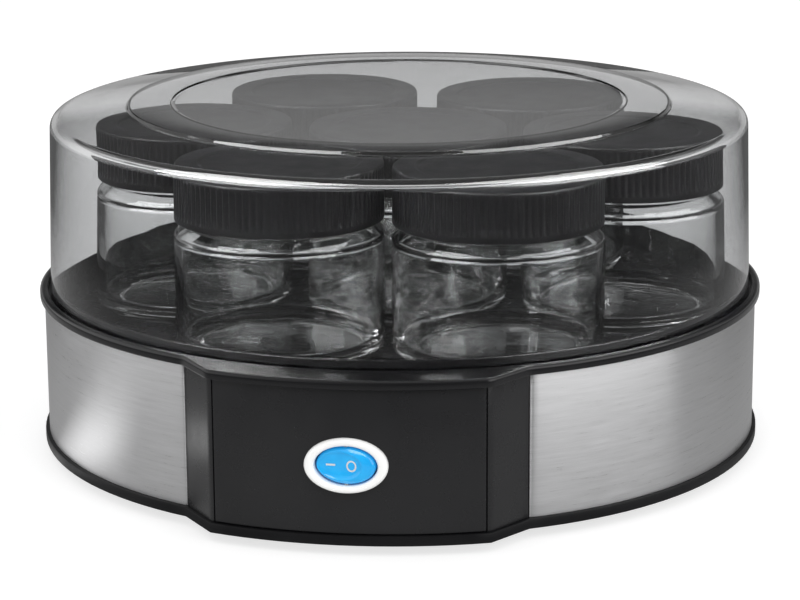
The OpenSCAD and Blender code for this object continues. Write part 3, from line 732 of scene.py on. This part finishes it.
def build_lid():
    """Clear lid: leaning wall, rounded shoulder, gentle crown, stepped plateau and shallow dish."""
    t = 2 * MM
    shoulder_z = LID_TOP - 3.8 * MM
    shoulder_r = LID_R - 1.7 * MM
    plateau_r = 88.8 * MM
    dish_r = 73.5 * MM
    step_z = LID_TOP - 1.1 * MM
    dish_z = LID_TOP - 0.5 * MM
    section = rounded([
        (0, dish_z - t, 0), (0, dish_z, 0), (dish_r, dish_z, 0.5 * MM),
        (dish_r + 1.2 * MM, LID_TOP, 0.6 * MM), (plateau_r, LID_TOP, 0.5 * MM),
        (plateau_r + 0.6 * MM, step_z, 0.6 * MM),
        (shoulder_r, shoulder_z, 3.4 * MM), (LID_R, LID_LOW, 0.5 * MM), (LID_R - t, LID_LOW, 0.4 * MM),
        (shoulder_r - t, shoulder_z - t, 1.8 * MM), (plateau_r + 0.2 * MM, step_z - t, 0.6 * MM),
        (plateau_r - 0.6 * MM, LID_TOP - t, 0.5 * MM), (dish_r + 1.6 * MM, LID_TOP - t, 0.6 * MM),
        (dish_r + 0.4 * MM, dish_z - t, 0.5 * MM)], steps=8)
    add_piece("lid_cover", *lathe(section, 288), MATERIALS["lid_clear"], "lid", "lid_clear", ["lid"],
              sharp=60)


# ---- Jars and caps ----

THREAD_PITCH = 3 * MM
THREAD_LOW, THREAD_HIGH = CAP_LOW + 2.5 * MM, JAR_TOP - 2 * MM
THREAD_DEPTH = 0.6 * MM
# Half of the thread's width, as a share of its pitch
THREAD_HALF = 0.24
NECK_R = 29.6 * MM


def jar_mesh():
    """Glass jar about its own axis: punted base, straight wall, shoulder, threaded neck and bead."""
    wall = 2.3 * MM
    floor = JAR_LOW + 3.2 * MM
    shoulder = CAP_LOW - 1.2 * MM
    inner = JAR_R - wall
    neck_inner = NECK_R - 2.4 * MM
    neck_levels = 44
    neck = [(NECK_R, shoulder + 0.9 * MM + (JAR_TOP - 1.6 * MM - shoulder) * k / neck_levels, 0)
            for k in range(neck_levels)]
    section = rounded([
        (0, JAR_LOW + 1.6 * MM, 0), (JAR_R - 9 * MM, JAR_LOW + 1.1 * MM, 3 * MM),
        (JAR_R - 6.5 * MM, JAR_LOW, 0.8 * MM), (JAR_R - 4 * MM, JAR_LOW, 0.8 * MM),
        (JAR_R - 0.3 * MM, JAR_LOW + 2.6 * MM, 2.2 * MM), (JAR_R, JAR_LOW + 7 * MM, 1.5 * MM),
        (JAR_R, shoulder - 3.0 * MM, 2.2 * MM), (NECK_R, shoulder, 0.6 * MM)]
        + neck
        + [(NECK_R, JAR_TOP, 1.0 * MM), (neck_inner, JAR_TOP, 0.9 * MM),
           (neck_inner, shoulder - 1.6 * MM, 1.2 * MM), (inner, shoulder - 4.8 * MM, 2.2 * MM),
           (inner, floor + 1 * MM, 4 * MM), (inner - 6 * MM, floor, 3 * MM), (0, floor + 0.5 * MM, 0)])
    rings = []
    for a in full_turn(144):
        ring = []
        for p in section:
            r = p.x
            if p.x > NECK_R - 0.01 * MM and THREAD_LOW < p.y < THREAD_HIGH:
                phase = ((p.y - THREAD_LOW) / THREAD_PITCH - a / (2 * math.pi)) % 1.0
                ends = min((p.y - THREAD_LOW) / MM, (THREAD_HIGH - p.y) / MM, 1.0)
                r += THREAD_DEPTH * ends * max(0.0, 1 - abs(phase - 0.5) / THREAD_HALF) ** 0.7
            ring.append(turned(r, a, p.y))
        rings.append(ring)
    return skin(rings)


def cap_mesh():
    """Screw cap about its own axis: recessed top, rounded edge, ribbed grip and plain lower band."""
    ribs, points_per_rib = 92, 8
    rib_depth = 0.5 * MM
    band_top = CAP_LOW + 1.9 * MM
    grip_top = CAP_TOP - 1.7 * MM
    inner = NECK_R + 0.9 * MM
    ceiling = CAP_TOP - 1.6 * MM
    grip_levels = 10
    grip = [(CAP_R, band_top + (grip_top - band_top) * k / grip_levels, 0) for k in range(grip_levels + 1)]
    section = rounded([
        (0, ceiling, 0), (0, CAP_TOP - 0.55 * MM, 0), (24.6 * MM, CAP_TOP - 0.5 * MM, 0.5 * MM),
        (25.7 * MM, CAP_TOP, 0.5 * MM), (CAP_R - 0.2 * MM, CAP_TOP, 1.4 * MM),
        (CAP_R, grip_top + 0.2 * MM, 0.1 * MM)]
        + grip[::-1]
        + [(CAP_R, band_top - 0.1 * MM, 0), (CAP_R, CAP_LOW, 0.4 * MM), (inner, CAP_LOW, 0.3 * MM),
           (inner, ceiling, 0.6 * MM)])
    rings = []
    for a in full_turn(ribs * points_per_rib):
        wave = 0.5 - 0.5 * math.cos(ribs * a)
        ring = []
        for p in section:
            from_band = max((p.y - band_top) / (0.5 * MM), 0)
            from_edge = max((grip_top + 0.7 * MM - p.y) / (0.9 * MM), 0)
            fade = min(from_band, from_edge, 1)
            r = p.x - (rib_depth * fade * wave ** 1.6 if p.x > CAP_R - 0.8 * MM else 0)
            ring.append(turned(r, a, p.y))
        rings.append(ring)
    return skin(rings)


def build_jars():
    """Seven jars with caps: each kind is one mesh, turned by another 37 degrees at each place."""
    turn_step = math.radians(37)
    kinds = (("jar", "glass", jar_mesh, "jar_glass", 50), ("cap", "screw", cap_mesh, "cap_black", 45))
    for kind, ending, make, slot, sharp in kinds:
        verts, faces = make()
        shared = bpy.data.meshes.new(slot)
        shared.from_pydata([tuple(v) for v in verts], [], faces)
        tidy_mesh(shared, sharp)
        shared.materials.append(MATERIALS[slot])
        for i, spot in enumerate(SPOTS):
            node = f"{kind}_{spot}"
            obj = bpy.data.objects.new(f"{node}_{ending}", shared)
            bpy.context.scene.collection.objects.link(obj)
            x, y = centre_of(node)
            obj.matrix_world = Matrix.Translation((x, y, 0)) @ Matrix.Rotation(i * turn_step, 4, "Z")
            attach(obj, node)
            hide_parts(node)


build_base_mouldings()
build_bezel()
build_rocker()
build_gland()
soften_edges("bottom_cover", "bottom_cover_moulding")
build_lid()
build_jars()

# ---- Stage, light and camera ----

# Brightness round the room: degrees from the panel's front towards +X, and how bright that side is
ROOM = ((-180, 0.30), (-155, 0.5), (-140, 0.8), (-75, 1.15), (-50, 0.95), (-22, 0.45), (5, 0.16), (36, 0.16),
        (45, 0.6), (48, 1.95), (100, 1.75), (104, 0.66), (150, 0.5), (165, 0.3), (180, 0.3))

# The middle of a spot on the floor that mirrors brightly in the panel's left cheek
BRIGHT_FLOOR_SPOT = (-0.137, -0.064, 0)


def room_ramp(tree, x, y):
    """Nodes that give the room's brightness on the side that (x, y) points to."""
    flip = add_math(tree, "MULTIPLY", y)
    flip.inputs[1].default_value = -1
    angle = add_math(tree, "ARCTAN2", x, flip.outputs[0])
    share = add_range(tree, angle.outputs[0], -math.pi, math.pi)
    ramp = tree.nodes.new("ShaderNodeValToRGB")
    elements = ramp.color_ramp.elements
    for i, (degrees, level) in enumerate(ROOM):
        at = (degrees + 180) / 360
        element = elements[i] if i < len(elements) else elements.new(at)
        element.position = at
        element.color = (level, level, level, 1)
    tree.links.new(share, ramp.inputs["Fac"])
    return ramp.outputs["Color"]


def add_math(tree, operation, *values):
    """A math node with its inputs linked in order."""
    made = tree.nodes.new("ShaderNodeMath")
    made.operation = operation
    for value, socket in zip(values, made.inputs):
        tree.links.new(value, socket)
    return made


def add_range(tree, value, start, stop, low=0.0, high=1.0, interpolation="LINEAR"):
    """A value that goes from low to high as the input goes from start to stop."""
    made = tree.nodes.new("ShaderNodeMapRange")
    made.interpolation_type = interpolation
    for socket, limit in (("From Min", start), ("From Max", stop), ("To Min", low), ("To Max", high)):
        made.inputs[socket].default_value = limit
    tree.links.new(value, made.inputs["Value"])
    return made.outputs[0]


def add_mix(tree, factor, a, b):
    """A colour mix from a to b, where either may be a socket or a constant colour."""
    made = tree.nodes.new("ShaderNodeMix")
    made.data_type = "RGBA"
    tree.links.new(factor, made.inputs["Factor"])
    for value, socket in ((a, made.inputs["A"]), (b, made.inputs["B"])):
        if isinstance(value, tuple):
            socket.default_value = value
        else:
            tree.links.new(value, socket)
    return made.outputs["Result"]


def build_stage():
    """A plain white floor, which the object mirrors as a grey table with a dark room round it."""
    size = 4.0
    corners = [(size * x, size * y, 0) for x, y in ((-1, -1), (1, -1), (1, 1), (-1, 1))]
    mesh = bpy.data.meshes.new("floor")
    mesh.from_pydata(corners, [], [(0, 1, 2, 3)])
    surface = Surface("floor_paint", Specular_IOR_Level=0.0, Roughness=0.9, Emission_Color=(1.0, 1.0, 1.0),
                      Emission_Strength=0.72)
    away = surface.node("ShaderNodeVectorMath", operation="LENGTH")
    surface.link(surface.coords, away.inputs[0])
    mirrored = surface.node("ShaderNodeEmission")
    off_spot = surface.node("ShaderNodeVectorMath", operation="DISTANCE")
    surface.link(surface.coords, off_spot.inputs[0])
    off_spot.inputs[1].default_value = BRIGHT_FLOOR_SPOT
    patch = surface.between(off_spot.outputs["Value"], 1.3, 0.0, 0.012, 0.038)
    table = surface.between(away.outputs["Value"], 0.36, 0.1, 0.28, 0.42)
    surface.link(surface.math("ADD", table, patch), mirrored.inputs["Strength"])
    through = surface.node("ShaderNodeEmission")
    surface.link(surface.between(away.outputs["Value"], 0.5, 1.05, 0.15, 0.65), through.inputs["Strength"])
    # a path that was mirrored anywhere on the way wins over one that only went through glass
    path = surface.node("ShaderNodeLightPath")
    reflected = surface.math("MINIMUM", path.outputs["Glossy Depth"], 1)
    shown = surface.shader
    for chosen, look in ((path.outputs["Is Transmission Ray"], through), (reflected, mirrored)):
        choose = surface.node("ShaderNodeMixShader")
        surface.link(chosen, choose.inputs[0])
        surface.link(shown.outputs[0], choose.inputs[1])
        surface.link(look.outputs[0], choose.inputs[2])
        shown = choose
    surface.link(shown.outputs[0], surface.tree.nodes["Material Output"].inputs["Surface"])
    surface.set("Base Color", surface.between(surface.noise(3, 3), (0.50, 0.50, 0.50), (0.53, 0.53, 0.53)))
    mesh.materials.append(surface.material)
    floor = bpy.data.objects.new("floor", mesh)
    bpy.context.scene.collection.objects.link(floor)


def build_world():
    """A studio that is white to look at, mirrored as walls of uneven brightness under a bright ceiling."""
    world = bpy.data.worlds.new("studio")
    bpy.context.scene.world = world
    world.use_nodes = True
    tree = world.node_tree
    background = tree.nodes["Background"]
    coords = tree.nodes.new("ShaderNodeTexCoord")
    parts = tree.nodes.new("ShaderNodeSeparateXYZ")
    tree.links.new(coords.outputs["Generated"], parts.inputs[0])
    walls = room_ramp(tree, parts.outputs["X"], parts.outputs["Y"])
    # low down behind the object the wall darkens upwards, which the lid's flat top mirrors
    height = add_range(tree, parts.outputs["Z"], 0.14, 0.215, 0.5, 0.06)
    behind = add_range(tree, parts.outputs["Y"], 0.55, 0.8, interpolation="SMOOTHSTEP")
    back_wall = add_mix(tree, behind, walls, height)
    ceiling = add_range(tree, parts.outputs["Z"], 0.5, 0.85, interpolation="SMOOTHSTEP")
    room = add_mix(tree, ceiling, back_wall, (0.7, 0.7, 0.7, 1.0))
    # what is seen directly or straight through the glass is white; what is mirrored on the way is the room
    path = tree.nodes.new("ShaderNodeLightPath")
    direct = path.outputs["Is Camera Ray"]
    for operation, other in (("ADD", "Is Transmission Ray"), ("SUBTRACT", "Glossy Depth")):
        step = add_math(tree, operation, direct, path.outputs[other])
        step.use_clamp = True
        direct = step.outputs[0]
    tree.links.new(add_mix(tree, direct, room, (1.0, 1.0, 1.0, 1.0)), background.inputs["Color"])
    background.inputs["Strength"].default_value = 1.0


def add_softbox(name, side, rise, width, height, brightness, lit):
    """A rectangular light on some pieces only, from a side (degrees from the front) and a rise (degrees)."""
    distance = 1.3
    target = Vector((0, 0, 60 * MM))
    side, rise = math.radians(side), math.radians(rise)
    level = distance * math.cos(rise)
    light = bpy.data.lights.new(name, "AREA")
    light.shape = "RECTANGLE"
    light.size = width
    light.size_y = height
    light.energy = brightness * math.pi * width * height
    lamp = bpy.data.objects.new(name, light)
    bpy.context.scene.collection.objects.link(lamp)
    lamp.location = level * math.sin(side), -level * math.cos(side), distance * math.sin(rise)
    lamp.rotation_euler = (target - lamp.location).to_track_quat("-Z", "Y").to_euler()
    group = bpy.data.collections.new(name + "_lights")
    for piece in lit:
        group.objects.link(bpy.data.objects[piece])
    lamp.light_linking.receiver_collection = group


def build_camera():
    """A long lens a little to the right of the panel, looking slightly down."""
    azimuth, pitch, roll = math.radians(7.3), math.radians(14.61), math.radians(0.34)
    distance, height = 910.6 * MM, 282.3 * MM
    data = bpy.data.cameras.new("camera")
    data.lens = 126.3
    data.sensor_width = 36
    camera = bpy.data.objects.new("camera", data)
    bpy.context.scene.collection.objects.link(camera)
    place_at = Matrix.Translation(turned(distance, azimuth, height))
    camera.matrix_world = (place_at @ Matrix.Rotation(azimuth, 4, "Z")
                           @ Matrix.Rotation(math.pi / 2 - pitch, 4, "X") @ Matrix.Rotation(-roll, 4, "Z"))
    bpy.context.scene.camera = camera


build_stage()
build_world()
build_camera()
glass = ["lid_cover"] + [f"jar_{spot}_glass" for spot in SPOTS]
outside = ["switch_bezel_oval", "rocker_button", "fascia_plate", "panel_housing_moulding", "steel_band_sheet"]
add_softbox("left_box", -54, 45, 1.05, 1.2, 12, glass)
add_softbox("right_box", 76, 45, 1.2, 1.2, 9, glass)
add_softbox("front_box", 10, 50, 0.8, 0.8, 4, outside)
scene = bpy.context.scene
scene.view_settings.view_transform = "Standard"
scene.cycles.max_bounces = 28
scene.cycles.transmission_bounces = 28
scene.cycles.glossy_bounces = 8
scene.cycles.transparent_max_bounces = 16
